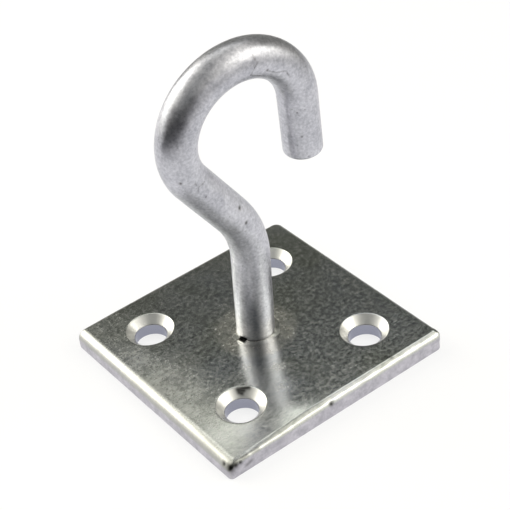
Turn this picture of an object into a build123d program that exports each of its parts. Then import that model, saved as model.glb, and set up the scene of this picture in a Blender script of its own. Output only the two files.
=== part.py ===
from build123d import *
import os
from math import radians, tan

# Hook on plate: a round bar bent to an open hook, its straight shank let into the middle of a
# square plate that has a countersunk screw hole near each corner.
# Frame: origin at the centre of the plate's back face, +Z out of the plate's front along the
# shank, X and Y along the plate's sides, the hook opening towards +X. Millimetres and degrees.

os.makedirs("parts", exist_ok=True)

# Plate, with rolled edges at the front and barely broken edges at the back
plate_side = 50.0
plate_thickness = 4.0
plate_corner_radius = 1.0
plate_front_edge_radius = 0.85
plate_back_edge_radius = 0.3

# The screw holes and the shank's hole were punched together, a little off the plate's centre
holes_shift_x = 0.5
holes_shift_y = 0.45

# Screw holes, one near each corner, countersunk from the front
screw_spacing = 29.3
screw_hole_radius = 3.15
countersink_radius = 4.7
countersink_angle = 90.0

# Round bar and the bends along its centreline, from the plate's front to the tip
bar_radius = 3.7
shank_length = 18.5
back_bend_radius = 20.0
back_bend_angle = 34.7
slant_length = 13.1
loop_radius = 12.65
loop_angle = 210.9
tip_length = 12.6
tip_edge_radius = 0.5

# How the hook stands in the plate: turned about +Z, leaning towards -Y and tilted towards +X
hook_turn = -2.0
hook_lean = 4.0
hook_tilt = 1.1

# Hole that the shank passes through, with a groove at the back for the weld
shank_hole_clearance = 0.7
weld_groove_width = 1.6
weld_groove_angle = 90.0

# Ring of run metal around the foot of the shank, and the void where it never closed
foot_ring_width = 1.5
foot_ring_height = 1.1
foot_ring_lip = 0.3
foot_void_width = 2.0
foot_void_height = 0.9
foot_void_depth = 0.8
foot_void_angle = 186.0

# Planes and sizes that follow from the ones above
shank_hole_radius = bar_radius + shank_hole_clearance
weld_rim_radius = shank_hole_radius + weld_groove_width
weld_groove_depth = weld_groove_width / tan(radians(weld_groove_angle / 2))
front_centre = (holes_shift_x, holes_shift_y, plate_thickness)
back_centre = (holes_shift_x, holes_shift_y, 0)
front_plane = Plane(origin=front_centre)
back_plane = Plane(origin=back_centre, z_dir=(0, 0, -1))
upright_plane = Plane.XZ.rotated((hook_lean, hook_tilt, 0)).rotated((0, 0, hook_turn))
hook_plane = Plane(origin=front_centre, x_dir=upright_plane.x_dir, z_dir=upright_plane.z_dir)

# Centreline of the bar, drawn in the hook's own plane with +Y up the shank
with BuildLine(hook_plane) as centreline:
    shank = Line((0, -2 * plate_thickness), (0, shank_length))
    back_bend = JernArc(shank @ 1, shank % 1, back_bend_radius, back_bend_angle)
    slant = Line(back_bend @ 1, back_bend @ 1 + back_bend % 1 * slant_length)
    loop = JernArc(slant @ 1, slant % 1, loop_radius, -loop_angle)
    tip = Line(loop @ 1, loop @ 1 + loop % 1 * tip_length)

# Void at the foot: a short pocket into the bar, lying on the plate's front
with BuildPart() as foot_void:
    with BuildSketch(front_plane.rotated((0, 0, foot_void_angle))):
        with Locations((bar_radius + foot_ring_lip, 0)):
            pocket_length = foot_void_depth + foot_ring_lip
            Rectangle(pocket_length, foot_void_width, align=(Align.MAX, Align.CENTER))
    extrude(amount=foot_void_height)

# Hook: the bar swept along its centreline, flush with the plate's back, square at the tip
with BuildPart() as hook:
    with BuildSketch(Plane(origin=centreline.line @ 0, z_dir=centreline.line % 0)):
        Circle(bar_radius)
    sweep(path=centreline.line)
    tip_face = hook.faces().sort_by_distance(centreline.line @ 1)[0]
    fillet(tip_face.edges(), tip_edge_radius)
    split(bisect_by=Plane.XY, keep=Keep.TOP)
    add(foot_void.part, mode=Mode.SUBTRACT)

hook.part.label = "hook"
export_step(hook.part, "parts/hook.step")

# Plate: its outline, its edges, the screw holes and the shank's hole
with BuildPart() as plate:
    with BuildSketch():
        RectangleRounded(plate_side, plate_side, plate_corner_radius)
    extrude(amount=plate_thickness)
    fillet(plate.faces().sort_by(Axis.Z)[-1].edges(), plate_front_edge_radius)
    fillet(plate.faces().sort_by(Axis.Z)[0].edges(), plate_back_edge_radius)
    with Locations(front_plane):
        with GridLocations(screw_spacing, screw_spacing, 2, 2):
            CounterSinkHole(
                screw_hole_radius, countersink_radius, counter_sink_angle=countersink_angle
            )
    with Locations(back_plane):
        CounterSinkHole(
            shank_hole_radius, weld_rim_radius, counter_sink_angle=weld_groove_angle
        )

plate.part.label = "plate"
export_step(plate.part, "parts/plate.step")

# Weld at the back: it fills the groove around the shank and is dressed flush
with BuildPart() as rear_weld:
    with Locations(back_centre):
        Cone(
            weld_rim_radius,
            shank_hole_radius,
            weld_groove_depth,
            align=(Align.CENTER, Align.CENTER, Align.MIN),
        )
    add(hook.part, mode=Mode.SUBTRACT)

rear_weld.part.label = "rear_weld"
export_step(rear_weld.part, "parts/rear_weld.step")

# Foot ring: a plain cone of metal around the shank, open at the void
with BuildPart() as foot_ring:
    with Locations(front_centre):
        Cone(
            bar_radius + foot_ring_width,
            bar_radius + foot_ring_lip,
            foot_ring_height,
            align=(Align.CENTER, Align.CENTER, Align.MIN),
        )
    add(hook.part, mode=Mode.SUBTRACT)
    add(foot_void.part, mode=Mode.SUBTRACT)

foot_ring.part.label = "foot_ring"
export_step(foot_ring.part, "parts/foot_ring.step")
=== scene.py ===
import cmath
import math

import bpy
import bmesh
import numpy as np
from mathutils import Matrix, Vector, geometry, noise
from mathutils.bvhtree import BVHTree


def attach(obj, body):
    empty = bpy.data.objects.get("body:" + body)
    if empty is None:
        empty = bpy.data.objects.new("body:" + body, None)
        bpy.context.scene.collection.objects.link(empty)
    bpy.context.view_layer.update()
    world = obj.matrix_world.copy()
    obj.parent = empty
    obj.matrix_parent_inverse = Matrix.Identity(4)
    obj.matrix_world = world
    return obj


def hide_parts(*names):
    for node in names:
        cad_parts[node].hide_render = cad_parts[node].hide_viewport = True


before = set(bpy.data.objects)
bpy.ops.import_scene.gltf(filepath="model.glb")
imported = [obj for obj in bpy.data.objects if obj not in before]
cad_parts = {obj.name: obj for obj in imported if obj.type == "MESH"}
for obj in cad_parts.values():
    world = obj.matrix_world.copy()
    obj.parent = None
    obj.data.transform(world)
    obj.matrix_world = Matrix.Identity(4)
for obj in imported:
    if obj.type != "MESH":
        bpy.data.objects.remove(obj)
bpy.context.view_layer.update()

# A hook of round bar on a square plate, in bright zinc.
# Lengths below are in millimetres unless their names say otherwise; meshes are in metres.
MM = 0.001

# Sizes of the part, as in its source
PLATE_SIDE = 50.0
PLATE_THICKNESS = 4.0
FRONT_EDGE_RADIUS = 0.85
BACK_EDGE_RADIUS = 0.3
HOLES_SHIFT_X = 0.5
HOLES_SHIFT_Y = 0.45
SCREW_SPACING = 29.3
SCREW_HOLE_RADIUS = 3.15
COUNTERSINK_RADIUS = 4.7
BAR_RADIUS = 3.7
SHANK_LENGTH = 18.5
BACK_BEND_RADIUS = 20.0
BACK_BEND_ANGLE = math.radians(34.7)
SLANT_LENGTH = 13.1
LOOP_RADIUS = 12.65
LOOP_ANGLE = math.radians(210.9)
TIP_LENGTH = 12.6
TIP_EDGE_RADIUS = 0.5
HOOK_TURN = math.radians(-2.0)
HOOK_LEAN = math.radians(4.0)
HOOK_TILT = math.radians(1.1)
SHANK_HOLE_CLEARANCE = 0.7
SHANK_HOLE_RADIUS = BAR_RADIUS + SHANK_HOLE_CLEARANCE
WELD_GROOVE_WIDTH = 1.6
WELD_GROOVE_DEPTH = WELD_GROOVE_WIDTH
WELD_RIM_RADIUS = SHANK_HOLE_RADIUS + WELD_GROOVE_WIDTH
FOOT_RING_WIDTH = 1.5
FOOT_RING_HEIGHT = 1.1

# Where the photographed piece differs a little from the plain part: its tip is sawn shorter, and
# the void at its foot is smaller and lies further round
TIP_TRIM = 0.55
FOOT_VOID_WIDTH = 1.6
FOOT_VOID_HEIGHT = 0.5
FOOT_VOID_DEPTH = 0.8
FOOT_VOID_ANGLE = math.radians(192.0)

# The photograph's camera, fitted to the plate and the hook
IMAGE_SIZE = 510
FOCAL_PIXELS = 1524.7
SENSOR_WIDTH = 36.0
CAMERA_AZIMUTH = math.radians(32.779)
CAMERA_DROP = math.radians(37.150)
CAMERA_ROLL = math.radians(7.851)
ORIGIN_RIGHT = 0.451
ORIGIN_DOWN = 17.699
ORIGIN_AWAY = 292.512

# How finely the meshes are divided: lengths of steps, or numbers of them
BAR_STEP = 0.2
BAR_AROUND = 132
FOOT_FACE_RINGS = (0.3, 0.65)
TIP_FACE_RINGS = (0.8, 0.6, 0.4, 0.2)
TIP_EDGE_STEPS = 6
PLATE_GRID = 0.34
PLATE_BACK_GRID = 1.2
HOLE_AROUND = 112
HOLE_STEP = 0.22
SIDE_STEPS = 190
SIDE_ROWS = 13
CORNER_STEPS = 8
FRONT_EDGE_STEPS = 8
BACK_EDGE_STEPS = 4
FOOT_RING_AROUND = 180
FOOT_RING_STEPS = 12
FLOOR_SIDES = 95
# Closer places are merged, and edges bent by more than this angle stay sharp
MERGE_DISTANCE = 0.002
SHARP_ANGLE = math.radians(50)

front_centre = Vector((HOLES_SHIFT_X, HOLES_SHIFT_Y, PLATE_THICKNESS))
hole_centres = [
    (HOLES_SHIFT_X + sx * SCREW_SPACING / 2, HOLES_SHIFT_Y + sy * SCREW_SPACING / 2)
    for sx in (-1, 1)
    for sy in (-1, 1)
]
bore_top = PLATE_THICKNESS - COUNTERSINK_RADIUS + SCREW_HOLE_RADIUS


def smooth(value, low, high):
    """0 below low, 1 above high, and a smooth rise between them."""
    share = np.clip((np.asarray(value, float) - low) / (high - low), 0, 1)
    return share * share * (3 - 2 * share)


def unevenness(places, size, seed):
    """Smooth noise from -1 to 1 whose bumps are about as wide as size."""
    shift = Vector((seed, 2.0 * seed, 3.0 * seed))
    return np.array([noise.noise(Vector(p) / size + shift) for p in places])


def wavy(places, middle, *waves):
    """A middle value with soft waves added, each given by its height, width and seed."""
    total = np.full(len(places), middle)
    for height, size, seed in waves:
        total = total + height * unevenness(places, size, seed)
    return total


# Camera


def camera_axes():
    """The camera's right, down and forward directions in the part's frame."""
    ca, sa = math.cos(CAMERA_AZIMUTH), math.sin(CAMERA_AZIMUTH)
    cd, sd = math.cos(CAMERA_DROP), math.sin(CAMERA_DROP)
    cr, sr = math.cos(CAMERA_ROLL), math.sin(CAMERA_ROLL)
    forward = Vector((sa * cd, ca * cd, -sd))
    level = Vector((ca, -sa, 0))
    steep = forward.cross(level)
    return level * cr + steep * sr, steep * cr - level * sr, forward


RIGHT, DOWN, FORWARD = camera_axes()
EYE = -(RIGHT * ORIGIN_RIGHT + DOWN * ORIGIN_DOWN + FORWARD * ORIGIN_AWAY)


def pixel_ray(u, v):
    """Direction from the camera through a pixel of the photograph."""
    x = (u - IMAGE_SIZE / 2) / FOCAL_PIXELS
    y = (v - IMAGE_SIZE / 2) / FOCAL_PIXELS
    return (RIGHT * x + DOWN * y + FORWARD).normalized()


def make_camera():
    data = bpy.data.cameras.new("camera")
    data.sensor_width = SENSOR_WIDTH
    data.lens = SENSOR_WIDTH * FOCAL_PIXELS / IMAGE_SIZE
    camera = bpy.data.objects.new("camera", data)
    axes = Matrix((RIGHT, -DOWN, -FORWARD)).transposed()
    camera.matrix_world = Matrix.Translation(EYE * MM) @ axes.to_4x4()
    bpy.context.scene.collection.objects.link(camera)
    bpy.context.scene.camera = camera


# Meshes


def make_object(name, places, faces):
    """A smooth-shaded object from places in millimetres."""
    mesh = bpy.data.meshes.new(name)
    mesh.from_pydata((np.asarray(places) * MM).tolist(), [], faces)
    tidy = bmesh.new()
    tidy.from_mesh(mesh)
    bmesh.ops.remove_doubles(tidy, verts=tidy.verts, dist=MERGE_DISTANCE * MM)
    bmesh.ops.recalc_face_normals(tidy, faces=tidy.faces)
    tidy.to_mesh(mesh)
    tidy.free()
    mesh.shade_smooth()
    mesh.set_sharp_from_angle(angle=SHARP_ANGLE)
    obj = bpy.data.objects.new(name, mesh)
    bpy.context.scene.collection.objects.link(obj)
    return obj


def places_of(obj):
    places = np.zeros(len(obj.data.vertices) * 3)
    obj.data.vertices.foreach_get("co", places)
    return places.reshape(-1, 3) / MM


def put_places(obj, places):
    obj.data.vertices.foreach_set("co", (places * MM).ravel())
    obj.data.update()


def normals_of(obj):
    normals = np.zeros(len(obj.data.vertices) * 3)
    obj.data.vertices.foreach_get("normal", normals)
    return normals.reshape(-1, 3)


def put_attribute(obj, name, values):
    attribute = obj.data.attributes.new(name, "FLOAT", "POINT")
    attribute.data.foreach_set("value", np.clip(values, 0, 1).astype(np.float32))


def strip(rows, closed=True):
    """Faces between rows of equally many places."""
    count = len(rows[0])
    faces = []
    for i in range(len(rows) - 1):
        for j in range(count if closed else count - 1):
            k = (j + 1) % count
            faces.append((i * count + j, i * count + k, (i + 1) * count + k, (i + 1) * count + j))
    return faces


def soften(corners, cut, steps=4):
    """A profile through these corners, each inner one rounded off over the length cut."""
    corners = [np.array(c, float) for c in corners]
    path = [corners[0]]
    for before, corner, after in zip(corners, corners[1:], corners[2:]):
        back, on = before - corner, after - corner
        start = corner + back * min(cut / np.linalg.norm(back), 0.45)
        end = corner + on * min(cut / np.linalg.norm(on), 0.45)
        for k in range(steps + 1):
            t = k / steps
            path.append((1 - t) ** 2 * start + 2 * t * (1 - t) * corner + t * t * end)
    return path + [corners[-1]]


# Marks, laid on a surface where pixels of the photograph show them


def bump_at(places, centre, radius):
    """A soft round bump, 1 at its centre."""
    return np.exp(-(((places - centre) ** 2).sum(1)) / radius**2)


def path_on(tree, pixels):
    """Places on the surface behind a path of pixels, about a pixel apart."""
    found = []
    for (u0, v0), (u1, v1) in zip(pixels, pixels[1:]):
        steps = max(2, round(math.hypot(u1 - u0, v1 - v0)))
        for k in range(steps + 1):
            share = k / steps
            ray = pixel_ray(u0 + (u1 - u0) * share, v0 + (v1 - v0) * share)
            hit = tree.ray_cast(EYE, ray)[0]
            if hit:
                found.append(np.array(hit))
    return found


def spots_on(tree, places, spots):
    """How far each place lies within soft round spots, given by pixel, radius and strength."""
    shares = np.zeros(len(places))
    for u, v, radius, strength in spots:
        for centre in path_on(tree, ((u, v), (u, v)))[:1]:
            shares = np.maximum(shares, strength * bump_at(places, centre, radius))
    return shares


def pits_on(tree, places, pits):
    """Tone and depth, at each place, of round pits given by pixel, radius and depth."""
    marks, dips = np.zeros(len(places)), np.zeros(len(places))
    for u, v, radius, depth in pits:
        for centre in path_on(tree, ((u, v), (u, v)))[:1]:
            pit = bump_at(places, centre, radius)
            marks = np.maximum(marks, pit)
            dips += depth * pit
    return marks, dips


# Hook: the bar swept along its centreline, its foot cut flush with the plate's back


def hook_axes():
    """Directions of the hook's plane: along the plate, upright, and square to the plane."""
    set_up = (
        Matrix.Rotation(HOOK_TURN, 3, "Z")
        @ Matrix.Rotation(HOOK_LEAN, 3, "X")
        @ Matrix.Rotation(HOOK_TILT, 3, "Y")
    )
    along, upright, side = Vector((1, 0, 0)), Vector((0, 0, 1)), Vector((0, -1, 0))
    return [np.array(set_up @ axis) for axis in (along, upright, side)]


HOOK_ALONG, HOOK_UP, HOOK_SIDE = hook_axes()


def bar_stations():
    """Places and headings along the bent part of the bar, as complex numbers."""
    runs = [
        (BACK_BEND_RADIUS * BACK_BEND_ANGLE, BACK_BEND_ANGLE),
        (SLANT_LENGTH, 0),
        (LOOP_RADIUS * LOOP_ANGLE, -LOOP_ANGLE),
        (TIP_LENGTH - TIP_TRIM - TIP_EDGE_RADIUS, 0),
    ]
    place, heading = SHANK_LENGTH * 1j, math.pi / 2
    stations = []
    for length, turn in runs:
        steps = round(length / BAR_STEP)
        for k in range(1, steps + 1):
            share = k / steps
            if turn:
                arc = cmath.exp(1j * (heading + turn * share)) - cmath.exp(1j * heading)
                moved = arc * length / (1j * turn)
            else:
                moved = cmath.exp(1j * heading) * length * share
            stations.append((place + moved, heading + turn * share))
        place, heading = stations[-1]
    return stations


def bar_ring(place, heading, radius):
    """A ring of places around a point of the centreline, and the outward direction at each."""
    inward = math.cos(heading + math.pi / 2) * HOOK_ALONG + math.sin(heading + math.pi / 2) * HOOK_UP
    angles = np.linspace(0, 2 * math.pi, BAR_AROUND, endpoint=False)
    outward = np.outer(np.cos(angles), inward) + np.outer(np.sin(angles), HOOK_SIDE)
    centre = np.array(front_centre) + place.real * HOOK_ALONG + place.imag * HOOK_UP
    return centre + radius * outward, outward


def slid_to_back(places):
    """The same places slid down the shank to the plane of the plate's back."""
    return places - np.outer(places[:, 2] / HOOK_UP[2], HOOK_UP)


def foot_rows():
    """Rings of the bar's flat foot and of its straight shank, up to the back bend."""
    shank_end = SHANK_LENGTH * 1j
    rows = []
    for share in FOOT_FACE_RINGS:
        inner, outward = bar_ring(shank_end, math.pi / 2, BAR_RADIUS * share)
        rows.append((slid_to_back(inner), 0 * outward))
    top, outward = bar_ring(shank_end, math.pi / 2, BAR_RADIUS)
    bottom = slid_to_back(top)
    steps = round((SHANK_LENGTH + PLATE_THICKNESS) / BAR_STEP)
    for k in range(steps + 1):
        rows.append((bottom + (top - bottom) * k / steps, outward))
    return rows


def tip_rows(end, heading):
    """Rings of the tip's rounded edge and of its flat face."""
    ahead = cmath.exp(1j * heading)
    rows = []
    for angle in np.linspace(0, math.pi / 2, TIP_EDGE_STEPS + 1)[1:]:
        place = end + TIP_EDGE_RADIUS * math.sin(angle) * ahead
        rows.append(bar_ring(place, heading, BAR_RADIUS - TIP_EDGE_RADIUS * (1 - math.cos(angle))))
    for share in TIP_FACE_RINGS:
        place = end + TIP_EDGE_RADIUS * ahead
        inner, outward = bar_ring(place, heading, (BAR_RADIUS - TIP_EDGE_RADIUS) * share)
        rows.append((inner, 0 * outward))
    return rows


def bar_rows():
    """Rings of places from the bar's foot to its tip, and the outward direction at each."""
    rows = foot_rows()
    stations = bar_stations()
    for place, heading in stations:
        rows.append(bar_ring(place, heading, BAR_RADIUS))
    return rows + tip_rows(*stations[-1])


def closed_bar(rows):
    """The bar's places, the outward direction at each, and its faces with both ends closed."""
    places = np.concatenate([row[0] for row in rows])
    outward = np.concatenate([row[1] for row in rows])
    faces = strip([row[0] for row in rows])
    count = len(places)
    for j in range(BAR_AROUND):
        k = (j + 1) % BAR_AROUND
        faces.append((k, j, count))
        faces.append((count - BAR_AROUND + j, count - BAR_AROUND + k, count + 1))
    first, last = rows[0][0].mean(0), rows[-1][0].mean(0)
    return np.vstack([places, first, last]), np.vstack([outward, np.zeros((2, 3))]), faces


# Marks on the bar, by the pixel of the photograph: place, radius and depth, or a path
BAR_PITS = (
    (240.0, 208.0, 0.42, 0.12),
    (246.5, 223.0, 0.34, 0.10),
    (180.6, 184.0, 0.26, 0.06),
    (267.6, 70.4, 0.22, 0.06),
    (206.0, 197.0, 0.16, 0.03),
    (302.0, 137.0, 0.18, 0.03),
    (297.0, 113.0, 0.16, 0.03),
)
BAR_CREASES = (
    ((253.0, 54.0), (255.0, 60.0)),
    ((258.0, 62.0), (251.0, 75.0)),
    ((251.0, 75.5), (262.0, 76.0), (271.0, 76.5)),
    ((267.0, 71.0), (277.0, 72.5), (286.0, 71.0), (290.0, 77.0)),
    ((195.0, 184.0), (198.7, 187.0), (198.0, 192.0)),
    ((198.7, 187.0), (203.0, 184.0)),
)
CREASE_WIDTH = 0.14
CREASE_DEPTH = 0.02
# The creases' tone is painted shade in the folds
CREASE_PAINTED_SHADE = 0.85
# How strong a crease is along its length: middle, unevenness, least, and length of a change
CREASE_STRENGTHS = (0.6, 0.8, 0.45, 0.9)
# A painted reflection of the dark surroundings, a stripe low on the shank: its path by pixel, half
# width, strength, and heights above the plate where it fades out
BAR_DARK_REFLECTION_PATH = ((251.0, 286.0), (254.5, 314.0), (258.0, 338.0))
BAR_DARK_REFLECTION_WIDTH = 1.0
BAR_DARK_REFLECTION_STRENGTH = 0.85
BAR_DARK_REFLECTION_HEIGHTS = (6.0, 13.0)
# How deep the zinc lies below the plain bar, and the height, width and seed of its waves
BAR_WAVES = (0.03, (0.02, 3.5, 1.0), (0.008, 0.9, 2.0))
# Softness of the void's rim, and how far below the plate's face its painted shade reaches
VOID_RIM = 0.15
VOID_SHADE_REACH = 1.5
# Height above the plate over which the painted shade around the foot fades out
FOOT_SHADE_HEIGHTS = (0.15, 0.5)


def hook_marks(tree, places):
    """Tone and depth of the bar's pits and creases at each place; the creases' tone is painted shade."""
    marks, dips = pits_on(tree, places, BAR_PITS)
    middle, rough, least, length = CREASE_STRENGTHS
    for pixels in BAR_CREASES:
        crease = np.zeros(len(places))
        for centre in path_on(tree, pixels):
            strength = max(middle + rough * noise.noise(Vector(centre) / length), least)
            crease = np.maximum(crease, strength * bump_at(places, centre, CREASE_WIDTH))
        marks = np.maximum(marks, CREASE_PAINTED_SHADE * crease)
        dips += CREASE_DEPTH * crease
    return marks, dips


def shank_dark_reflection(tree, places):
    """How dark the painted reflection low on the shank is at each place."""
    shade = np.zeros(len(places))
    for centre in path_on(tree, BAR_DARK_REFLECTION_PATH):
        shade = np.maximum(shade, bump_at(places, centre, BAR_DARK_REFLECTION_WIDTH))
    height = places[:, 2] - PLATE_THICKNESS
    fading = BAR_DARK_REFLECTION_STRENGTH * (1 - smooth(height, *BAR_DARK_REFLECTION_HEIGHTS))
    return shade * fading


def void_axes():
    """Directions from the shank's centre out through the void, and across the void."""
    away = np.array((math.cos(FOOT_VOID_ANGLE), math.sin(FOOT_VOID_ANGLE), 0))
    return away, np.array((-away[1], away[0], 0))


def foot_void(places, outward, below=0.0):
    """1 inside the small void at the shank's foot, 0 outside it; below is its reach downwards."""
    away, across = void_axes()
    from_centre = places - np.array(front_centre)
    sideways = np.abs(from_centre @ across)
    height = from_centre[:, 2]
    facing = (outward @ away) > 0
    inside = 1 - smooth(sideways, FOOT_VOID_WIDTH / 2 - VOID_RIM, FOOT_VOID_WIDTH / 2 + VOID_RIM)
    below_top = 1 - smooth(height, FOOT_VOID_HEIGHT - VOID_RIM, FOOT_VOID_HEIGHT + VOID_RIM)
    above_plate = smooth(height, -below - 2 * VOID_RIM, -below)
    return inside * below_top * above_plate * facing


def make_hook():
    places, outward, faces = closed_bar(bar_rows())
    tree = BVHTree.FromPolygons(places.tolist(), faces)
    marks, dips = hook_marks(tree, places)
    depth = wavy(places, *BAR_WAVES) + dips + FOOT_VOID_DEPTH * foot_void(places, outward)
    moved = places - outward * depth[:, None]
    moved[:, 2] = np.maximum(moved[:, 2], 0)
    obj = make_object("hook_bar", moved, faces)
    put_attribute(obj, "mark", marks)
    put_attribute(obj, "shade", shank_dark_reflection(tree, places))
    # The void's black is painted shade
    put_attribute(obj, "void", foot_void(places, outward, VOID_SHADE_REACH))
    # Painted shade round the foot, fading with height
    put_attribute(obj, "foot", 1 - smooth(places[:, 2] - PLATE_THICKNESS, *FOOT_SHADE_HEIGHTS))
    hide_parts("hook")
    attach(obj, "root")
    return obj


# Plate: a fine skin on the front and a coarse one on the back, with edges and holes between

# Each corner of the plate, as its signs in X and Y and its own radius: back, left, front, right
CORNERS = ((1, 1, 1.7), (-1, 1, 0.8), (-1, -1, 0.9), (1, -1, 1.2))
LEAST_CORNER = 0.05


def corner_row(corner, inset, height):
    sx, sy, radius = CORNERS[corner % 4]
    left = max(radius - inset, LEAST_CORNER)
    reach = PLATE_SIDE / 2 - inset - left
    row = []
    for k in range(CORNER_STEPS + 1):
        angle = (corner + k / CORNER_STEPS) * math.pi / 2
        row.append((sx * reach + left * math.cos(angle), sy * reach + left * math.sin(angle), height))
    return row


def outline(inset, height):
    """The plate's rounded square, moved in by inset, as a row of places."""
    row = []
    for corner in range(len(CORNERS)):
        row += corner_row(corner, inset, height)
        end = np.array(row[-1])
        onward = np.array(corner_row(corner + 1, inset, height)[0]) - end
        row += [tuple(end + onward * k / SIDE_STEPS) for k in range(1, SIDE_STEPS)]
    return row


def circle(centre, radius, height):
    angles = np.linspace(0, 2 * math.pi, HOLE_AROUND, endpoint=False)
    return [(centre[0] + radius * math.cos(a), centre[1] + radius * math.sin(a), height) for a in angles]


# The skin's inset from the plate's side and the rows of places between it and the rounding; its
# gap to the rims as a share of its spacing, and how near a corner it has no places
SKIN_INSET = 2.6
SKIN_ROWS = 14
ROUNDING_INSET = 0.95
SKIN_GAP = 0.4
SKIN_CORNER = 0.8


def skin(height, spacing, holes):
    """A flat triangulated face inside the outline and outside the holes."""
    rings = [outline(SKIN_INSET, height)] + [circle(c, r, height) for c, r in holes]
    points, edges = [], []
    for row in rings:
        first = len(points)
        points += [Vector(p[:2]) for p in row]
        edges += [(first + j, first + (j + 1) % len(row)) for j in range(len(row))]
    reach = PLATE_SIDE / 2 - SKIN_INSET - SKIN_GAP * spacing
    steps = np.linspace(-reach, reach, round(2 * reach / spacing) + 1)
    between = (steps[1:] + steps[:-1]) / 2
    for i, x in enumerate(steps):
        for y in between if i % 2 else steps:
            beside_edge = min(reach - abs(x), reach - abs(y)) < SKIN_CORNER
            corner = beside_edge and abs(abs(x) - abs(y)) < SKIN_CORNER
            near = any(math.hypot(x - c[0], y - c[1]) < r + SKIN_GAP * spacing for c, r in holes)
            if not near and not corner:
                points.append(Vector((x, y)))
    found, _, triangles = geometry.delaunay_2d_cdt(points, edges, [], 0, 1e-6)[:3]
    kept = []
    for triangle in triangles:
        middle = sum((found[i] for i in triangle), Vector((0, 0))) / 3
        if all(math.hypot(middle.x - c[0], middle.y - c[1]) > r for c, r in holes):
            kept.append(tuple(triangle))
    return [(p.x, p.y, height) for p in found], kept


def divided(profile, step):
    """The same profile with its long runs cut into short ones."""
    path = [profile[0]]
    for before, after in zip(profile, profile[1:]):
        start, run = np.array(before), np.array(after) - before
        steps = max(1, round(math.dist(before, after) / step))
        path += [tuple(start + run * k / steps) for k in range(1, steps + 1)]
    return path


# Width of the flat lip around each hole, and how far the screw holes' edges are rounded off
HOLE_LIP = 0.45
HOLE_EDGE_CUT = 0.14


def screw_hole_profile():
    """Radius and height down a screw hole, from its lip in front to the one behind."""
    corners = (
        (COUNTERSINK_RADIUS + HOLE_LIP, PLATE_THICKNESS),
        (COUNTERSINK_RADIUS, PLATE_THICKNESS),
        (SCREW_HOLE_RADIUS, bore_top),
        (SCREW_HOLE_RADIUS, 0),
        (SCREW_HOLE_RADIUS + HOLE_LIP, 0),
    )
    return divided(soften(corners, HOLE_EDGE_CUT), HOLE_STEP)


def shank_hole_profile():
    """The same for the shank's hole, which is wider behind for the weld."""
    return (
        (SHANK_HOLE_RADIUS + HOLE_LIP, PLATE_THICKNESS),
        (SHANK_HOLE_RADIUS, PLATE_THICKNESS - 0.1),
        (SHANK_HOLE_RADIUS, WELD_GROOVE_DEPTH),
        (WELD_RIM_RADIUS, 0),
        (WELD_RIM_RADIUS + HOLE_LIP, 0),
    )


def edge_profile():
    """Inset and height around the plate's edge, from its front to its back."""
    path = [(inset, PLATE_THICKNESS) for inset in np.linspace(SKIN_INSET, ROUNDING_INSET, SKIN_ROWS)]
    side_top = PLATE_THICKNESS - FRONT_EDGE_RADIUS
    for angle in np.linspace(0, math.pi / 2, FRONT_EDGE_STEPS + 1):
        inset = FRONT_EDGE_RADIUS * (1 - math.sin(angle))
        path.append((inset, PLATE_THICKNESS - FRONT_EDGE_RADIUS * (1 - math.cos(angle))))
    for height in np.linspace(side_top, BACK_EDGE_RADIUS, SIDE_ROWS)[1:-1]:
        path.append((0, height))
    for angle in np.linspace(0, math.pi / 2, BACK_EDGE_STEPS + 1):
        inset = BACK_EDGE_RADIUS * (1 - math.cos(angle))
        path.append((inset, BACK_EDGE_RADIUS * (1 - math.sin(angle))))
    return path + [(ROUNDING_INSET, 0), (SKIN_INSET, 0)]


def plate_parts():
    """Every strip and skin of the plate, as places and faces."""
    centre = (HOLES_SHIFT_X, HOLES_SHIFT_Y)
    strips = [[outline(inset, height) for inset, height in edge_profile()]]
    for hole in hole_centres:
        strips.append([circle(hole, radius, height) for radius, height in screw_hole_profile()])
    strips.append([circle(centre, radius, height) for radius, height in shank_hole_profile()])
    parts = [(sum(rows, []), strip(rows)) for rows in strips]
    front_holes = [(hole, COUNTERSINK_RADIUS + HOLE_LIP) for hole in hole_centres]
    front_holes.append((centre, SHANK_HOLE_RADIUS + HOLE_LIP))
    back_holes = [(hole, SCREW_HOLE_RADIUS + HOLE_LIP) for hole in hole_centres]
    back_holes.append((centre, WELD_RIM_RADIUS + HOLE_LIP))
    parts.append(skin(PLATE_THICKNESS, PLATE_GRID, front_holes))
    parts.append(skin(0, PLATE_BACK_GRID, back_holes))
    return parts


# Marks on the plate, by the pixel of the photograph: place, radius and depth of the pits, and
# strength, path and width of the smears
PLATE_PITS = (
    (331.4, 404.0, 0.48, 0.10),
    (224.0, 464.0, 0.40, 0.08),
    (230.5, 468.0, 1.00, 0.12),
    (236.0, 465.5, 0.75, 0.08),
    (240.5, 462.5, 0.45, 0.06),
    (74.7, 335.7, 0.40, 0.05),
    (143.7, 403.5, 0.30, 0.08),
    (349.0, 353.0, 0.22, 0.03),
)
PLATE_SMEARS = (
    (0.95, ((237.5, 389.5), (239.0, 392.5), (242.0, 393.5))),
    (0.95, ((239.0, 389.5), (243.0, 388.5), (249.0, 387.5))),
    (0.95, ((240.0, 391.0), (244.0, 390.5))),
    (0.60, ((385.0, 357.0), (391.0, 357.5))),
    (0.60, ((243.0, 458.0), (247.0, 455.0))),
    (0.50, ((252.0, 452.0), (258.0, 449.0))),
    (0.50, ((247.0, 465.0), (251.0, 461.0))),
)
SMEAR_WIDTH = 0.42
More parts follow.
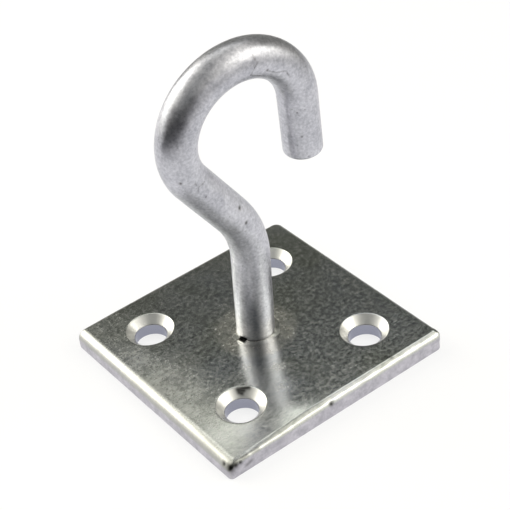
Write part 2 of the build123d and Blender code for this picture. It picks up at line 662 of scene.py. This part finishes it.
# Where the zinc looks cooler, and where a reflection of the shank's bright sides is painted in
# front of the foot: pixel, radius, strength
PLATE_COOL_SPOTS = (
    (222.0, 368.0, 5.0, 1.0),
    (300.0, 385.0, 5.0, 0.8),
    (256.0, 352.0, 1.5, 1.0),
)
PLATE_REFLECTION_SPOTS = (
    (271.0, 350.0, 1.6, 0.55),
    (276.0, 366.0, 1.7, 0.60),
    (283.0, 386.0, 1.7, 0.50),
    (246.0, 350.0, 1.0, 0.50),
    (247.0, 368.0, 1.0, 0.45),
)
# Where the darkening in the joint ends and where the tint from the weld's heat ends, by distance
# from the shank's centre, and where the rubbed zinc ends, by distance from the left side
JOINT_DARK_REACH = (4.50, 4.80)
HEAT_REACH = (6.8, 8.8)
RUBBED_REACH = (2.0, 14.5)
# The rubbed zinc grows and then fades again with the distance from the right side
RUBBED_LEAST, RUBBED_MOST = 0.25, 0.80
RUBBED_GROWS = (4, 15)
RUBBED_FADES = (24, 44)
RUBBED_FADED_SHARE = 0.45
# How patchy the tint and the rubbed zinc are: middle, then height, width and seed of each wave
HEAT_PATCHES = (0.95, (0.5, 3.0, 7.0))
RUBBED_BLOBS = (0.8, (0.55, 3.6, 8.0), (0.3, 1.2, 9.0))
# How the edges were drawn down when the plate was cut: depth, width and power of each roll
LEFT_ROLL = (1.05, 2.1, 2.2)
RIGHT_ROLL = (0.60, 1.3, 1.3)
# The roll at the right starts as a share of its depth and grows away from the left side
RIGHT_ROLL_START = 0.25
RIGHT_ROLL_GROWS = (3, 16)
# Depth and width of the slope along the left edge, and of the one at the front corner, which
# narrows and then ends away from the left side
LEFT_SLOPE = (0.10, 8.0)
CORNER_SLOPE_DEPTH = 0.42
CORNER_SLOPE_WIDTHS = (2.0, 8.5)
CORNER_SLOPE_NARROWS = (2, 22)
CORNER_SLOPE_ENDS = (8, 24)
# The right edge is sharper than the left: its radius as a share of the front edge radius, how far
# from the edge it is drawn in, and the length at the front corner over which it sharpens
RIGHT_EDGE_SHARE = 0.7
RIGHT_EDGE_REACH = 2.0
RIGHT_EDGE_START = 2.5
# How deep the zinc lies below the plain front and sides: middle, then height, width and seed
PLATE_WAVES = (0.015, (0.012, 6.0, 4.0), (0.004, 1.6, 5.0))
SIDE_WAVES = (0.03, (0.02, 3.0, 6.0))
RIGHT_ROLL_WAVES = (1.0, (0.25, 2.5, 3.0))


def sharpen_right_edge(places):
    """Draws the rounding of the right edge in towards the edge itself."""
    along = smooth(places[:, 0], -PLATE_SIDE / 2, -PLATE_SIDE / 2 + RIGHT_EDGE_START)
    share = 1 - (1 - RIGHT_EDGE_SHARE) * along
    inward = places[:, 1] + PLATE_SIDE / 2
    down = PLATE_THICKNESS - places[:, 2]
    near = (inward < RIGHT_EDGE_REACH) & (down < RIGHT_EDGE_REACH)
    moved = places.copy()
    for axis, amount, sign in ((1, inward, 1), (2, down, -1)):
        drawn = amount * (share + (1 - share) * smooth(amount, FRONT_EDGE_RADIUS, RIGHT_EDGE_REACH))
        moved[:, axis] += np.where(near, sign * (drawn - amount), 0)
    return moved


def settle_plate(places):
    """The punched plate's own unevenness: drawn-down edges, a low front corner and soft waves."""
    places = sharpen_right_edge(places)
    x, y, z = places.T
    height = smooth(z, 0.2, PLATE_THICKNESS)
    from_left = x + PLATE_SIDE / 2
    from_right = y + PLATE_SIDE / 2
    rolls = []
    for (depth, width, power), away in ((LEFT_ROLL, from_left), (RIGHT_ROLL, from_right)):
        rolls.append(depth * np.clip(1 - away / width, 0, 1) ** power)
    grown = RIGHT_ROLL_START + (1 - RIGHT_ROLL_START) * smooth(from_left, *RIGHT_ROLL_GROWS)
    rolls[1] *= grown * wavy(places, *RIGHT_ROLL_WAVES)
    droop = np.maximum(*rolls)
    droop += LEFT_SLOPE[0] * np.exp(-((from_left / LEFT_SLOPE[1]) ** 2))
    narrow, wide = CORNER_SLOPE_WIDTHS
    width = wide + (narrow - wide) * smooth(from_left, *CORNER_SLOPE_NARROWS)
    corner = CORNER_SLOPE_DEPTH * np.exp(-((from_right / width) ** 2))
    droop += corner * (1 - smooth(from_left, *CORNER_SLOPE_ENDS))
    moved = places.copy()
    moved[:, 2] -= height * (droop + wavy(places, *PLATE_WAVES))
    side_wave = wavy(places, *SIDE_WAVES)
    for axis in (0, 1):
        reach = np.abs(moved[:, axis]) / (PLATE_SIDE / 2)
        moved[:, axis] *= 1 - side_wave / (PLATE_SIDE / 2) * smooth(reach, 0.9, 1)
    moved[:, 2] = np.maximum(moved[:, 2], 0)
    return moved


def plate_marks(tree, places):
    """Tone and depth of the plate's pits and smears at each place."""
    marks, dips = pits_on(tree, places, PLATE_PITS)
    for strength, pixels in PLATE_SMEARS:
        for centre in path_on(tree, pixels):
            marks = np.maximum(marks, strength * bump_at(places, centre, SMEAR_WIDTH))
    return marks, dips


def plate_rubbing(flat):
    """How far the zinc is rubbed bright, mostly along the left side."""
    from_left, from_right = flat[:, 0] + PLATE_SIDE / 2, flat[:, 1] + PLATE_SIDE / 2
    rubbed = wavy(flat, *RUBBED_BLOBS) * (1 - smooth(from_left, *RUBBED_REACH))
    rubbed = rubbed * (1 - RUBBED_FADED_SHARE * smooth(from_right, *RUBBED_FADES))
    return rubbed * (RUBBED_LEAST + (RUBBED_MOST - RUBBED_LEAST) * smooth(from_right, *RUBBED_GROWS))


def put_hole_tones(obj, flat):
    """Marks the cones and the bores of the screw holes; the bores get painted shade."""
    to_hole = np.min([np.hypot(flat[:, 0] - c[0], flat[:, 1] - c[1]) for c in hole_centres], axis=0)
    cone = 1 - smooth(to_hole, COUNTERSINK_RADIUS - 0.15, COUNTERSINK_RADIUS + 0.05)
    bore = cone * (1 - smooth(flat[:, 2], bore_top - 0.2, bore_top + 0.1))
    put_attribute(obj, "cone", cone - bore)
    put_attribute(obj, "bore", bore)


def put_edge_tones(obj, flat):
    """Marks the plate's upright sides, and the dull rim above them that is widest at the left."""
    to_edge = PLATE_SIDE / 2 - np.maximum(np.abs(flat[:, 0]), np.abs(flat[:, 1]))
    side_top = PLATE_THICKNESS - FRONT_EDGE_RADIUS
    upright = 1 - smooth(flat[:, 2], side_top - 0.1, PLATE_THICKNESS - 0.4)
    put_attribute(obj, "side", (1 - smooth(to_edge, 0.1, 0.5)) * upright)
    left_edge = 1 - smooth(flat[:, 0] + PLATE_SIDE / 2, 0.2, 3.0)
    put_attribute(obj, "edge", np.maximum(left_edge, 0.6 * (1 - smooth(to_edge, 0.2, 0.9))))


def flat_plate():
    """The plain plate, joined from its strips and skins."""
    places, faces = [], []
    for some_places, some_faces in plate_parts():
        first = len(places)
        places += some_places
        faces += [tuple(first + i for i in face) for face in some_faces]
    return make_object("plate_body", np.array(places, float), faces)


def make_plate():
    obj = flat_plate()
    flat = places_of(obj)
    settled = settle_plate(flat)
    put_places(obj, settled)
    tree = BVHTree.FromPolygons(settled.tolist(), [tuple(p.vertices) for p in obj.data.polygons])
    marks, dips = plate_marks(tree, settled)
    moved = settled - normals_of(obj) * dips[:, None]
    moved[:, 2] = np.maximum(moved[:, 2], 0)
    put_places(obj, moved)
    to_shank = np.hypot(flat[:, 0] - HOLES_SHIFT_X, flat[:, 1] - HOLES_SHIFT_Y)
    put_attribute(obj, "mark", np.maximum(marks, 1 - smooth(to_shank, *JOINT_DARK_REACH)))
    put_attribute(obj, "cool", spots_on(tree, settled, PLATE_COOL_SPOTS))
    put_attribute(obj, "tinted", wavy(flat, *HEAT_PATCHES) * (1 - smooth(to_shank, *HEAT_REACH)))
    reflection_spots = spots_on(tree, settled, PLATE_REFLECTION_SPOTS)
    # Rubbed zinc, and the painted reflection of the shank's bright sides in front of the foot
    put_attribute(obj, "rubbed", np.maximum(plate_rubbing(flat), reflection_spots))
    put_hole_tones(obj, flat)
    put_edge_tones(obj, flat)
    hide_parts("plate")
    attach(obj, "root")
    return obj


# Foot ring: run zinc around the shank, open at the void

# Middle and unevenness of its width and height, as shares of the plain ring's
FOOT_RING_WIDTHS = (0.86, 0.10)
FOOT_RING_HEIGHTS = (0.13, 0.08)
# How hollow its slope is, how far it is sunk everywhere and at its rim, how far it reaches below
# the plate's face and into the bar, and how wide it opens at the void
FOOT_RING_HOLLOW = 2.6
FOOT_RING_SUNK = 0.012
FOOT_RING_RIM_SUNK = 0.03
FOOT_RING_BELOW = 0.05
FOOT_RING_BURIED = 0.35
FOOT_RING_OPENING = 0.4
# Shares of the void's half angle where the ring is still open and where it is closed
FOOT_RING_GAP = (0.85, 1.1)
FOOT_RING_BUMPS = 2.2
FOOT_RING_TINT = 0.8


def foot_ring_profile(angle):
    """Radius and level of the ring's section at one angle, from the bar outwards and back."""
    void_half = math.asin(FOOT_VOID_WIDTH / 2 / BAR_RADIUS)
    gap = abs((angle - FOOT_VOID_ANGLE + math.pi) % (2 * math.pi) - math.pi)
    closed = float(smooth(gap, *[void_half * share for share in FOOT_RING_GAP]))
    spot = Vector((math.cos(angle), math.sin(angle), 0)) * FOOT_RING_BUMPS
    middle, rough = FOOT_RING_WIDTHS
    width = FOOT_RING_WIDTH * (middle + rough * noise.noise(spot))
    middle, rough = FOOT_RING_HEIGHTS
    height = FOOT_RING_HEIGHT * (middle + rough * noise.noise(spot + Vector((5, 5, 5))))
    start = (1 - closed) * FOOT_RING_OPENING
    inner = BAR_RADIUS - FOOT_RING_BURIED * closed + start
    profile = [(inner, -FOOT_RING_BELOW)]
    for k in range(FOOT_RING_STEPS + 1):
        share = 1 - k / FOOT_RING_STEPS
        slope = height * (1 - share) ** FOOT_RING_HOLLOW
        level = slope - FOOT_RING_SUNK - FOOT_RING_RIM_SUNK * share**2
        profile.append((BAR_RADIUS + start + (width - start) * share, level))
    return profile + [(inner, height)]


def foot_ring_gap_shade(flat):
    """Painted shade in the gap in the ring in front of the void."""
    away, across = void_axes()
    from_centre = flat - np.array(front_centre)
    sideways, outward = np.abs(from_centre @ across), from_centre @ away
    dark = 1 - smooth(sideways, FOOT_VOID_WIDTH / 2 - 0.1, FOOT_VOID_WIDTH / 2 + 0.1)
    return dark * (outward > 0) * (1 - smooth(outward, BAR_RADIUS + 0.55, BAR_RADIUS + 0.75))


def make_foot_ring():
    x, y, z = front_centre
    rows = []
    for j in range(FOOT_RING_AROUND):
        angle = 2 * math.pi * j / FOOT_RING_AROUND
        cos, sin = math.cos(angle), math.sin(angle)
        rows.append([(x + r * cos, y + r * sin, z + level) for r, level in foot_ring_profile(angle)])
    total = len(rows) * len(rows[0])
    faces = [tuple(i % total for i in face) for face in strip(rows + [rows[0]])]
    obj = make_object("foot_fillet", np.array(sum(rows, []), float), faces)
    flat = places_of(obj)
    # The ring's mark is painted shade in its gap
    put_attribute(obj, "mark", foot_ring_gap_shade(flat))
    put_attribute(obj, "tinted", np.full(len(flat), FOOT_RING_TINT))
    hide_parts("foot_ring")
    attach(obj, "root")
    return obj


# Materials: noise scales are per metre, and a span turns one range of values into another


class Nodes:
    """Adds nodes to one tree; an input is either a constant or another node's output."""

    def __init__(self, tree):
        self.tree = tree
        tree.nodes.clear()

    def add(self, kind, inputs=None, **settings):
        made = self.tree.nodes.new("ShaderNode" + kind)
        for name, value in settings.items():
            setattr(made, name, value)
        for key, value in (inputs or {}).items():
            if isinstance(value, bpy.types.NodeSocket):
                self.tree.links.new(value, made.inputs[key])
            else:
                made.inputs[key].default_value = value
        return made

    def noise(self, where, scale, detail=3.0, roughness=0.5):
        inputs = {"Vector": where, "Scale": scale, "Detail": detail, "Roughness": roughness}
        return self.add("TexNoise", inputs).outputs["Fac"]

    def span(self, value, low, high, to_low=0.0, to_high=1.0):
        """value from low to high, turned into to_low to to_high."""
        inputs = {0: value, 1: low, 2: high, 3: to_low, 4: to_high}
        return self.add("MapRange", inputs).outputs[0]

    def blend(self, factor, first, second, mode="MIX"):
        made = self.add("Mix", {0: factor, 6: first, 7: second}, data_type="RGBA", blend_type=mode)
        return made.outputs[2]

    def math(self, operation, first, second):
        return self.add("Math", {0: first, 1: second}, operation=operation).outputs[0]

    def highest(self, values):
        top = values[0]
        for value in values[1:]:
            top = self.math("MAXIMUM", top, value)
        return top

    def layered(self, base, layers):
        """base with other tones laid over it in turn, each given by its share and itself."""
        for share, tone in layers:
            base = self.blend(share, base, tone)
        return base

    def attribute(self, name):
        return self.add("Attribute", attribute_name=name).outputs["Fac"]

    def show(self, shader, output="OutputMaterial"):
        """Sends a shader to the output of the tree."""
        self.tree.links.new(shader, self.add(output).inputs[0])

    def streaks(self, where, turn, length, width, low, high):
        """Short straight scratches lying at one angle."""
        inputs = {
            "Vector": where,
            "Rotation": (0, 0, math.radians(turn)),
            "Scale": (1 / (length * MM), 1 / (width * MM), 1 / (length * MM)),
        }
        drawn = self.add("Mapping", inputs).outputs[0]
        return self.span(self.noise(drawn, 1.0, 1.0), low, high)


def colour(red, green, blue):
    return (red, green, blue, 1.0)


def new_material(name):
    material = bpy.data.materials.new(name)
    material.use_nodes = True
    nodes = Nodes(material.node_tree)
    where = nodes.add("TexCoord").outputs["Object"]
    return material, nodes, where


def finish_material(nodes, base, roughness, bump, metallic, strength, depth):
    """Joins the shader; strength and depth in millimetres are those of the bump."""
    inputs = {"Height": bump, "Strength": strength, "Distance": depth * MM}
    normal = nodes.add("Bump", inputs).outputs[0]
    shader = nodes.add(
        "BsdfPrincipled",
        {"Base Color": base, "Roughness": roughness, "Metallic": metallic, "Normal": normal},
    )
    nodes.show(shader.outputs[0])


BAR_PALE = colour(0.73, 0.73, 0.785)
BAR_DULL = colour(0.32, 0.325, 0.37)
# Dark specks and pits, and painted shade round the foot and in the creases
BAR_DIRT_AND_SHADE = colour(0.06, 0.055, 0.05)
# A painted reflection of the dark surroundings, low on the shank
BAR_DARK_REFLECTION = colour(0.06, 0.07, 0.085)
# Painted shade inside the void at the shank's foot
VOID_PAINTED_SHADE = colour(0.004, 0.004, 0.004)


def bar_material():
    material, nodes, where = new_material("zinc_bar")
    cloud = nodes.noise(where, 260.0, 4.0, 0.6)
    grain = nodes.noise(where, 1900.0, 3.0, 0.6)
    mottle = nodes.math("ADD", nodes.span(cloud, 0.3, 0.7, 0, 0.45), nodes.span(grain, 0.3, 0.7, 0, 0.55))
    specks = nodes.add("TexVoronoi", {"Vector": where, "Scale": 1100.0}).outputs["Distance"]
    thin = nodes.span(nodes.noise(where, 420.0, 2.0), 0.52, 0.62)
    spots = nodes.math("MULTIPLY", nodes.span(specks, 0.22, 0.08), thin)
    # The stripe low on the shank is a painted dark reflection
    shade = nodes.math("MULTIPLY", nodes.attribute("shade"), nodes.span(cloud, 0.3, 0.6, 0.5, 1))
    # Painted shade round the bar's foot, where it meets the plate
    foot = nodes.math("MULTIPLY", nodes.attribute("foot"), nodes.span(grain, 0.3, 0.6, 0.25, 0.8))
    layers = (
        (nodes.math("MULTIPLY", spots, 0.4), BAR_DIRT_AND_SHADE),
        (shade, BAR_DARK_REFLECTION),
        (foot, BAR_DIRT_AND_SHADE),
        (nodes.attribute("mark"), BAR_DIRT_AND_SHADE),
        (nodes.attribute("void"), VOID_PAINTED_SHADE),
    )
    base = nodes.layered(nodes.blend(mottle, BAR_DULL, BAR_PALE), layers)
    roughness = nodes.span(cloud, 0.3, 0.7, 0.33, 0.43)
    bump = nodes.math("ADD", nodes.math("MULTIPLY", grain, 0.7), nodes.math("MULTIPLY", cloud, 0.6))
    finish_material(nodes, base, roughness, bump, metallic=0.96, strength=0.45, depth=0.05)
    return material


PLATE_DARK = colour(0.43, 0.46, 0.42)
PLATE_COOL = colour(0.45, 0.49, 0.57)
PLATE_LIGHT = colour(0.68, 0.69, 0.68)
# Rubbed and scratched zinc, and the painted reflection of the shank's bright sides
PLATE_RUBBED_AND_REFLECTION = colour(0.82, 0.82, 0.79)
PLATE_EDGE = colour(0.41, 0.41, 0.395)
PLATE_SIDE_PALE = colour(0.60, 0.58, 0.63)
PLATE_SIDE_DULL = colour(0.40, 0.39, 0.43)
PLATE_CONE = colour(0.74, 0.74, 0.73)
# Painted shade inside the screw holes' bores
PLATE_BORE_SHADE = colour(0.32, 0.33, 0.40)
PLATE_HEAT = colour(0.70, 0.69, 0.64)
# Dirt on the plate, and painted shade in the foot ring's gap
PLATE_DIRT_AND_SHADE = colour(0.025, 0.024, 0.022)
# Streaks in the zinc: turn in degrees, length and width, and noise where each starts and is full
SCRATCHES = (
    (20, 5.0, 0.16, 0.66, 0.74),
    (75, 4.0, 0.14, 0.67, 0.75),
    (140, 6.0, 0.16, 0.66, 0.74),
)
FIBRES = (
    (50, 1.3, 0.24, 0.48, 0.68),
    (-15, 1.1, 0.24, 0.50, 0.70),
    (110, 1.5, 0.24, 0.50, 0.70),
)


def plate_zinc(nodes, where, spangle):
    """Mottled zinc, before wear, dirt and painted light are laid over it."""
    cloud = nodes.noise(where, 140.0, 4.0, 0.6)
    mottle = nodes.math("ADD", nodes.span(cloud, 0.3, 0.7, 0, 0.5), nodes.span(spangle, 0.35, 0.65, 0, 0.5))
    cool = nodes.span(nodes.noise(where, 70.0, 2.0), 0.45, 0.65)
    cool = nodes.math("MAXIMUM", cool, nodes.attribute("cool"))
    dark = nodes.blend(cool, PLATE_DARK, PLATE_COOL)
    return nodes.blend(mottle, dark, PLATE_LIGHT)


def plate_scratches(nodes, where):
    """Long scratches, in patches."""
    lines = nodes.highest([nodes.streaks(where, *scratch) for scratch in SCRATCHES])
    patches = nodes.span(nodes.noise(where, 330.0, 2.0), 0.45, 0.7)
    return nodes.math("MULTIPLY", lines, patches)


def plate_roughness(nodes, spangle, heat):
    """Duller where the plate is cut, rubbed or tinted by heat, and where the shank's reflection is painted.
    """
    dull = [nodes.attribute("side"), nodes.attribute("cone")]
    dull.append(nodes.math("MULTIPLY", nodes.attribute("rubbed"), 0.7))
    dull.append(nodes.math("MULTIPLY", nodes.attribute("edge"), 0.7))
    dull.append(nodes.math("MULTIPLY", heat, 0.27))
    plain = nodes.span(spangle, 0.3, 0.7, 0.15, 0.25)
    return nodes.math("ADD", plain, nodes.math("MULTIPLY", nodes.highest(dull), 0.2))


def plate_material():
    material, nodes, where = new_material("zinc_plate")
    spangle = nodes.noise(where, 1300.0, 3.0, 0.65)
    blotch = nodes.noise(where, 700.0, 4.0, 0.75)
    scratches = plate_scratches(nodes, where)
    fibres = nodes.highest([nodes.streaks(where, *fibre) for fibre in FIBRES])
    flecks = nodes.math("ADD", nodes.math("MULTIPLY", fibres, 0.8), nodes.span(blotch, 0.35, 0.65, 0, 0.35))
    # Rubbed zinc, and the painted reflection of the shank's bright sides
    rubbed = nodes.math("MULTIPLY", flecks, nodes.attribute("rubbed"))
    heat = nodes.math("MULTIPLY", nodes.attribute("tinted"), nodes.span(blotch, 0.35, 0.65, 0.6, 1))
    edge = nodes.math("MULTIPLY", nodes.attribute("edge"), nodes.span(spangle, 0.3, 0.7, 0.75, 1))
    side = nodes.blend(nodes.span(blotch, 0.35, 0.65), PLATE_SIDE_DULL, PLATE_SIDE_PALE)
    layers = (
        (nodes.math("MULTIPLY", scratches, 0.45), PLATE_RUBBED_AND_REFLECTION),
        (nodes.math("MULTIPLY", fibres, 0.22), PLATE_RUBBED_AND_REFLECTION),
        (rubbed, PLATE_RUBBED_AND_REFLECTION),
        (heat, PLATE_HEAT),
        (edge, PLATE_EDGE),
        (nodes.attribute("side"), side),
        (nodes.attribute("cone"), PLATE_CONE),
        (nodes.attribute("bore"), PLATE_BORE_SHADE),
        (nodes.attribute("mark"), PLATE_DIRT_AND_SHADE),
    )
    base = nodes.layered(plate_zinc(nodes, where, spangle), layers)
    roughness = plate_roughness(nodes, spangle, heat)
    bump = nodes.math("ADD", spangle, nodes.math("MULTIPLY", scratches, -0.4))
    bump = nodes.math("ADD", bump, nodes.math("MULTIPLY", rubbed, 0.3))
    finish_material(nodes, base, roughness, bump, metallic=1.0, strength=0.25, depth=0.03)
    return material


WELD_PALE = colour(0.48, 0.48, 0.47)
WELD_DULL = colour(0.30, 0.30, 0.30)


def weld_material():
    """Zinc run over weld metal, lumpy and dull."""
    material, nodes, where = new_material("weld")
    lumps = nodes.noise(where, 900.0, 3.0, 0.6)
    grain = nodes.noise(where, 3200.0, 2.0)
    base = nodes.blend(nodes.span(lumps, 0.35, 0.65), WELD_DULL, WELD_PALE)
    roughness = nodes.span(grain, 0.3, 0.7, 0.45, 0.6)
    bump = nodes.math("ADD", lumps, nodes.math("MULTIPLY", grain, 0.4))
    finish_material(nodes, base, roughness, bump, metallic=0.9, strength=0.5, depth=0.08)
    return material


# Studio: a white sheet on a grey table, a white horizon under a grey ceiling, three soft lamps
# with a glow around two of them, and dark cloths for the metal to reflect

FLOOR_COLOUR = colour(0.88, 0.88, 0.90)
FLOOR_COLOUR_PALE = colour(0.90, 0.90, 0.91)
FLOOR_RADIUS = 3000.0
# How much of the floor's look is a plain white glow, and how bright that glow is
FLOOR_GLOW = 0.72
FLOOR_GLOW_STRENGTH = 1.07
# A white sheet lies under the part, its middle beyond it to the left; the table around is duller
SHEET_AZIMUTH = -150.0
SHEET_BEYOND = 90.0
SHEET_RADIUS = 165.0
SHEET_FADE = 290.0
TABLE_GLOW = 0.10
TABLE_COLOUR = colour(0.50, 0.50, 0.52)
WORLD_HORIZON = colour(1.0, 1.0, 1.0)
WORLD_CEILING = colour(0.30, 0.305, 0.29)
# Heights in degrees where the horizon starts to fade and where the ceiling is full
CEILING_HEIGHTS = (10, 22)
# Soft glows around the lamps: azimuth, height, angle where each starts and is full, and tone
WORLD_GLOWS = (
    (-118, 22, 56, 15, colour(1.6, 1.56, 1.40)),
    (84, 34, 56, 12, colour(1.45, 1.41, 1.27)),
)


def floor_material():
    material, nodes, where = new_material("floor_paper")
    tone = nodes.span(nodes.noise(where, 3.0), 0.3, 0.7)
    paper = nodes.blend(tone, FLOOR_COLOUR, FLOOR_COLOUR_PALE)
    centre = toward(SHEET_AZIMUTH, 0) * SHEET_BEYOND * MM
    away = nodes.add("VectorMath", {0: where, 1: centre}, operation="DISTANCE").outputs["Value"]
    table = nodes.span(away, SHEET_RADIUS * MM, SHEET_FADE * MM)
    paper = nodes.blend(table, paper, TABLE_COLOUR)
    lit = nodes.add("BsdfDiffuse", {"Color": paper}).outputs[0]
    white = nodes.add("Emission", {"Color": colour(1, 1, 1), "Strength": FLOOR_GLOW_STRENGTH}).outputs[0]
    path = nodes.add("LightPath").outputs
    rays = ("Is Camera Ray", "Is Glossy Ray", "Is Transmission Ray")
    seen = nodes.highest([path[ray] for ray in rays])
    glow = nodes.math("MULTIPLY", seen, nodes.span(table, 0, 1, FLOOR_GLOW, TABLE_GLOW))
    nodes.show(nodes.add("MixShader", {0: glow, 1: lit, 2: white}).outputs[0])
    return material


def make_floor():
    angles = np.linspace(0, 2 * math.pi, FLOOR_SIDES, endpoint=False)
    rim = [(FLOOR_RADIUS * math.cos(a), FLOOR_RADIUS * math.sin(a), 0) for a in angles]
    obj = make_object("floor", np.array(rim), [tuple(range(len(rim)))])
    obj.data.materials.append(floor_material())


def make_world():
    world = bpy.data.worlds.new("studio")
    bpy.context.scene.world = world
    world.use_nodes = True
    nodes = Nodes(world.node_tree)
    direction = nodes.add("TexCoord").outputs["Generated"]
    height = nodes.add("SeparateXYZ", {0: direction}).outputs["Z"]
    rise = nodes.span(height, *[math.sin(math.radians(angle)) for angle in CEILING_HEIGHTS])
    sky = nodes.blend(rise, WORLD_HORIZON, WORLD_CEILING)
    for azimuth, middle, start, full, tone in WORLD_GLOWS:
        inputs = {0: direction, 1: toward(azimuth, middle)}
        facing = nodes.add("VectorMath", inputs, operation="DOT_PRODUCT").outputs["Value"]
        glow = nodes.span(facing, math.cos(math.radians(start)), math.cos(math.radians(full)))
        sky = nodes.blend(glow, sky, tone)
    background = nodes.add("Background", {"Color": sky, "Strength": 1.0})
    nodes.show(background.outputs[0], "OutputWorld")


def toward(azimuth, height):
    """Direction from the part, with azimuth measured from the camera's own to its right."""
    turn = CAMERA_AZIMUTH + math.radians(180 - azimuth)
    level = math.cos(math.radians(height))
    return Vector((math.sin(turn) * level, math.cos(turn) * level, math.sin(math.radians(height))))


# Lamps: azimuth from the camera to its right and height in degrees, distance, width and height
# in metres, radiance, where 1 is a white paper in full light, and tint
LAMPS = (
    ("lamp_left", -119, 27, 0.90, 0.66, 0.66, 2.4, (1.0, 0.98, 0.87)),
    ("lamp_right", 82, 36, 0.90, 0.66, 0.56, 1.8, (1.0, 0.98, 0.87)),
    ("lamp_top", 180, 55, 0.90, 0.70, 0.27, 1.3, (1.0, 1.0, 0.93)),
)


def make_lamps():
    for name, azimuth, height, distance, wide, high, radiance, tint in LAMPS:
        data = bpy.data.lights.new(name, "AREA")
        data.shape = "RECTANGLE"
        data.size = wide
        data.size_y = high
        data.energy = radiance * math.pi * wide * high
        data.color = tint
        lamp = bpy.data.objects.new(name, data)
        place = toward(azimuth, height) * distance
        lamp.location = place
        lamp.rotation_euler = place.to_track_quat("Z", "Y").to_euler()
        bpy.context.scene.collection.objects.link(lamp)


# Dark cloths that lie on the floor and rise at the far side: azimuth of the middle and half width
# in degrees, distance of the near edge and of the upright part and height in millimetres, and
# tone at the foot and at the top
CLOTHS = (
    ("cloth_front", -28, 50, 150.0, 480.0, 280.0, colour(0.03, 0.03, 0.04), colour(0.06, 0.06, 0.06)),
    ("cloth_far", 158, 54, 330.0, 480.0, 550.0, colour(0.45, 0.45, 0.43), colour(0.05, 0.055, 0.05)),
)
# How far the cloths lie above the floor, and the number of places along each edge
CLOTH_LIFT = 1.0
CLOTH_ACROSS = 25
CLOTH_WEAVE = colour(0.0, 0.0, 0.0)


def cloth_material(name, high, foot_tone, top_tone):
    material, nodes, where = new_material(name)
    height = nodes.add("SeparateXYZ", {0: where}).outputs["Z"]
    tone = nodes.blend(nodes.span(height, 0.3 * high * MM, 0.7 * high * MM), foot_tone, top_tone)
    weave = nodes.span(nodes.noise(where, 900.0), 0.3, 0.7, 0, 0.3)
    base = nodes.blend(weave, tone, CLOTH_WEAVE)
    nodes.show(nodes.add("BsdfDiffuse", {"Color": base}).outputs[0])
    return material


def make_cloths():
    for name, middle, half, near, far, high, foot_tone, top_tone in CLOTHS:
        rows = []
        for distance, level in ((near, CLOTH_LIFT), (far, CLOTH_LIFT), (far, high)):
            row = []
            for azimuth in np.linspace(middle - half, middle + half, CLOTH_ACROSS):
                place = toward(azimuth, 0) * distance
                row.append((place.x, place.y, level))
            rows.append(row)
        obj = make_object(name, np.array(sum(rows, [])), strip(rows, closed=False))
        obj.data.materials.append(cloth_material(name, high, foot_tone, top_tone))
        obj.visible_camera = False
        obj.visible_shadow = False


make_camera()
make_world()
make_lamps()
make_floor()
make_cloths()
hook = make_hook()
hook.data.materials.append(bar_material())
plate = make_plate()
plate.data.materials.append(plate_material())
fillet = make_foot_ring()
fillet.data.materials.append(plate.data.materials[0])
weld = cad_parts["rear_weld"]
weld.data.materials.clear()
weld.data.materials.append(weld_material())
bpy.context.scene.view_settings.view_transform = "Standard"
